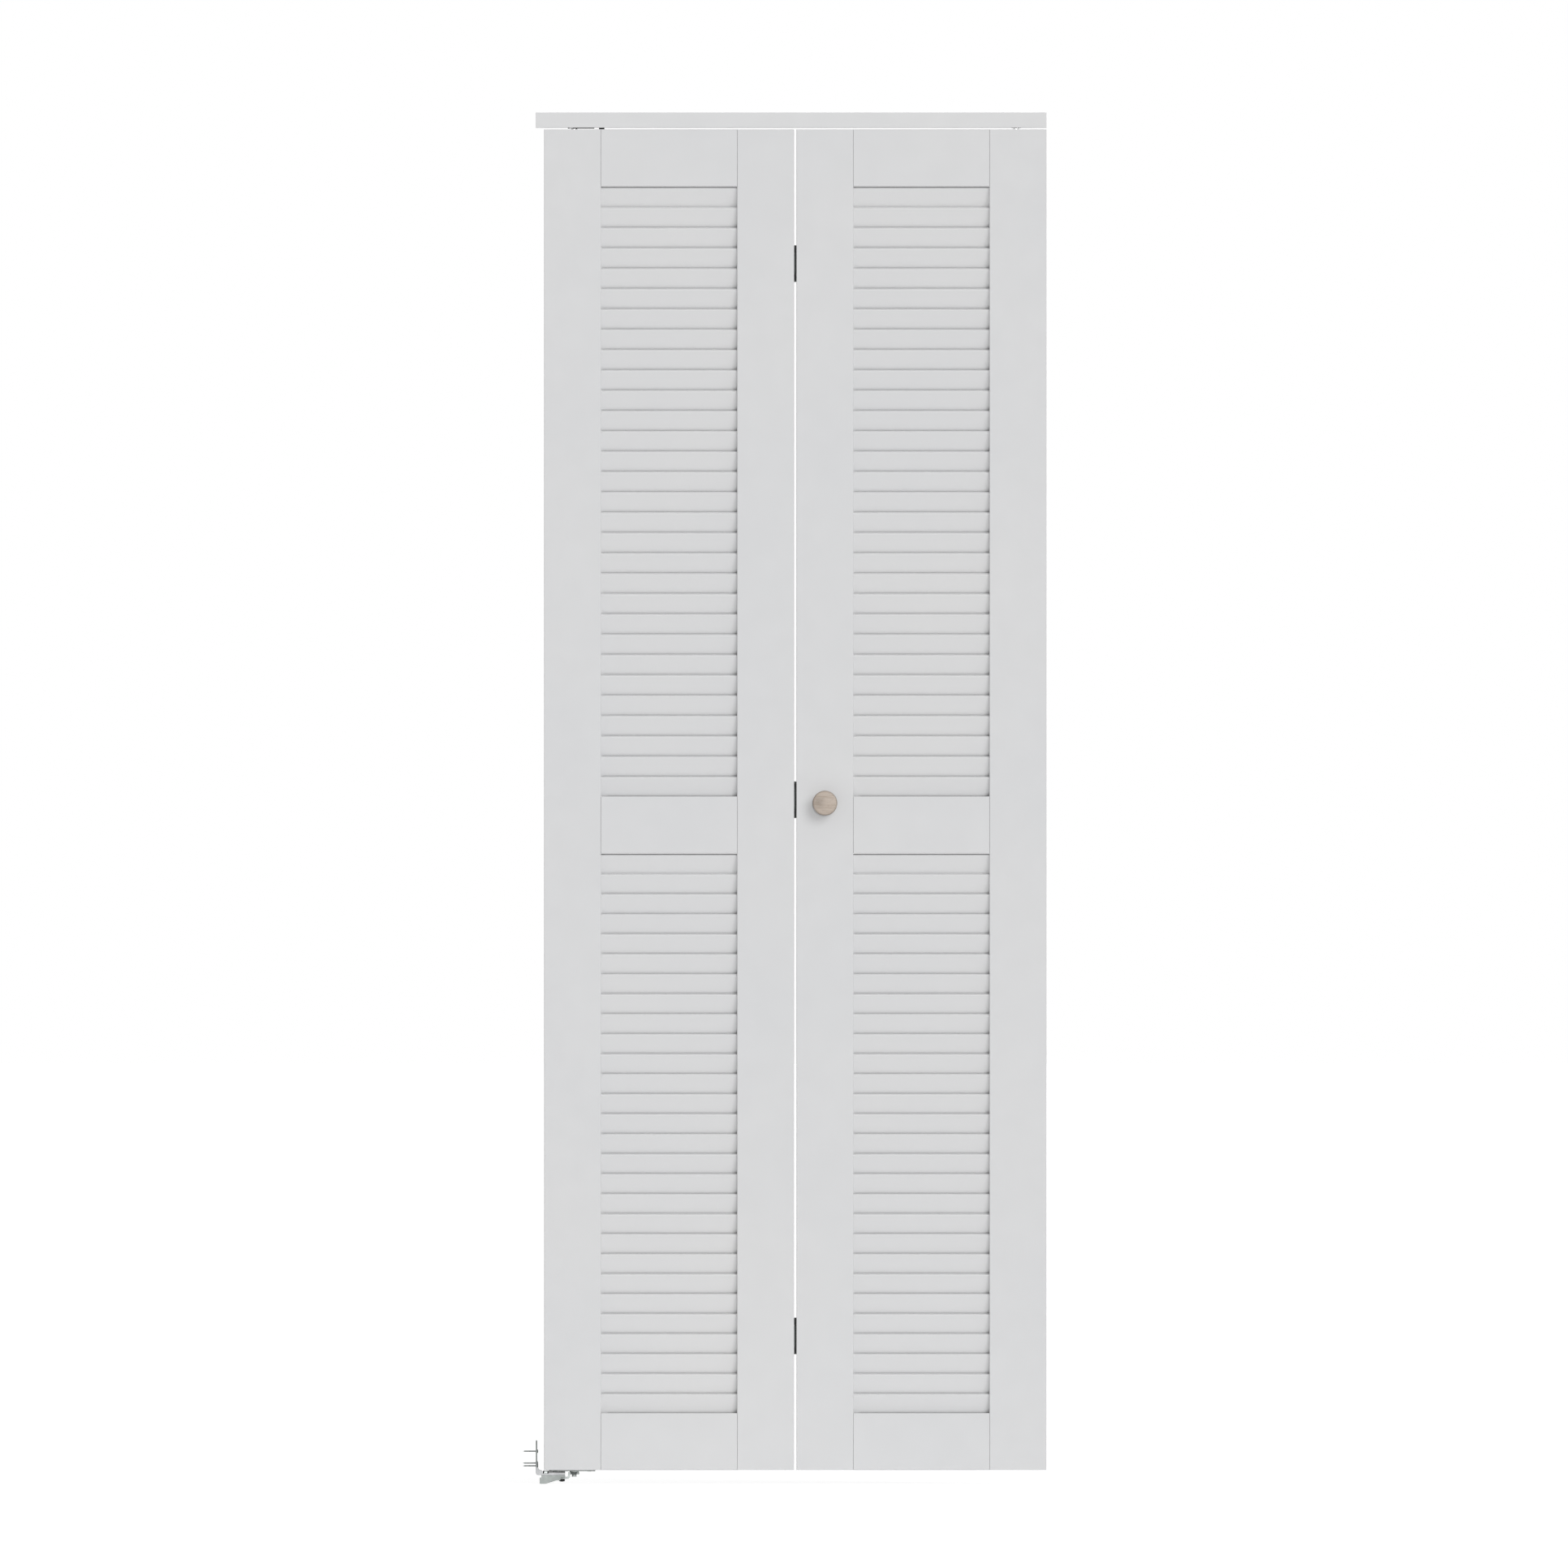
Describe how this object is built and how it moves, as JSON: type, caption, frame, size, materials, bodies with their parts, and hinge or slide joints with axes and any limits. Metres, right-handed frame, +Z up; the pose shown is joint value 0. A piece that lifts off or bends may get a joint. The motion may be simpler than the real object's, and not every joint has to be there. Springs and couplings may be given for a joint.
{
  "type": "louvred door",
  "caption": "Two-panel louvred folding door hung under a head track, with jamb pivots, a guide wheel, nested hinges and a round knob.",
  "frame": {"origin": "on the fixed pivot axis, at the top face of the head track", "axes": "+Z up, +X from the pivot jamb along the track, +Y from the room into the closet; the front faces -Y"},
  "size_m": [0.7815, 0.0628, 2.0458],
  "materials": {
    "white_wood": "satin white paint",
    "white_steel": "satin white paint",
    "zinc_steel": "galvanised",
    "pale_wood": "bare, sanded",
    "grey_nylon": "matte"
  },
  "bodies": {
    "frame": {"head_track": "white_steel", "top_pivot_bracket": "zinc_steel", "top_clamp_bar": "zinc_steel", "jamb_bracket": "zinc_steel", "jamb_screws": "zinc_steel", "bracket_shoe": "zinc_steel", "pivot_arm": "zinc_steel", "arm_bolt": "zinc_steel", "arm_nut": "zinc_steel"},
    "left_panel": {"left_pivot_stile": "white_wood", "left_hinge_stile": "white_wood", "left_top_rail": "white_wood", "left_mid_rail": "white_wood", "left_bottom_rail": "white_wood", "left_upper_slats": "white_wood", "left_lower_slats": "white_wood", "pivot_plate": "zinc_steel", "bottom_pivot_pin": "zinc_steel", "top_pivot_socket": "grey_nylon", "hinge_small_leaves": "zinc_steel"},
    "top_pivot_pin": {"top_pivot_pin": "zinc_steel"},
    "right_panel": {"right_hinge_stile": "white_wood", "right_guide_stile": "white_wood", "right_top_rail": "white_wood", "right_mid_rail": "white_wood", "right_bottom_rail": "white_wood", "right_upper_slats": "white_wood", "right_lower_slats": "white_wood", "hinge_large_leaves": "zinc_steel", "knob": "pale_wood", "guide_socket": "grey_nylon"},
    "guide_pin": {"guide_pin": "zinc_steel"},
    "guide_wheel": {"guide_wheel": "grey_nylon"}
  },
  "joints": [
    {"name": "left_fold", "type": "hinge", "parent": "frame", "child": "left_panel", "pos_m": [0, 0, -1], "axis": [0, 0, -1], "range_deg": [0, 86]},
    {"name": "right_fold", "type": "hinge", "parent": "left_panel", "child": "right_panel", "pos_m": [0.32975, 0.01765, -1], "axis": [0, 0, -1], "range_deg": [-172, 0]},
    {"name": "top_pivot_press", "type": "slide", "parent": "left_panel", "child": "top_pivot_pin", "axis": [0, 0, -1], "range_m": [0, 0.0105], "stiffness_N_per_m": 1000, "springref_m": -0.008},
    {"name": "guide_press", "type": "slide", "parent": "right_panel", "child": "guide_pin", "axis": [0, 0, -1], "range_m": [0, 0.0105], "stiffness_N_per_m": 1000, "springref_m": -0.008},
    {"name": "guide_wheel_spin", "type": "hinge", "parent": "guide_pin", "child": "guide_wheel", "pos_m": [0.6595, 0, -0.0182], "axis": [0, 0, 1], "continuous": true}
  ],
  "couplings": [
    {"joint": "right_fold", "follows": "left_fold", "ratio": -2}
  ]
}
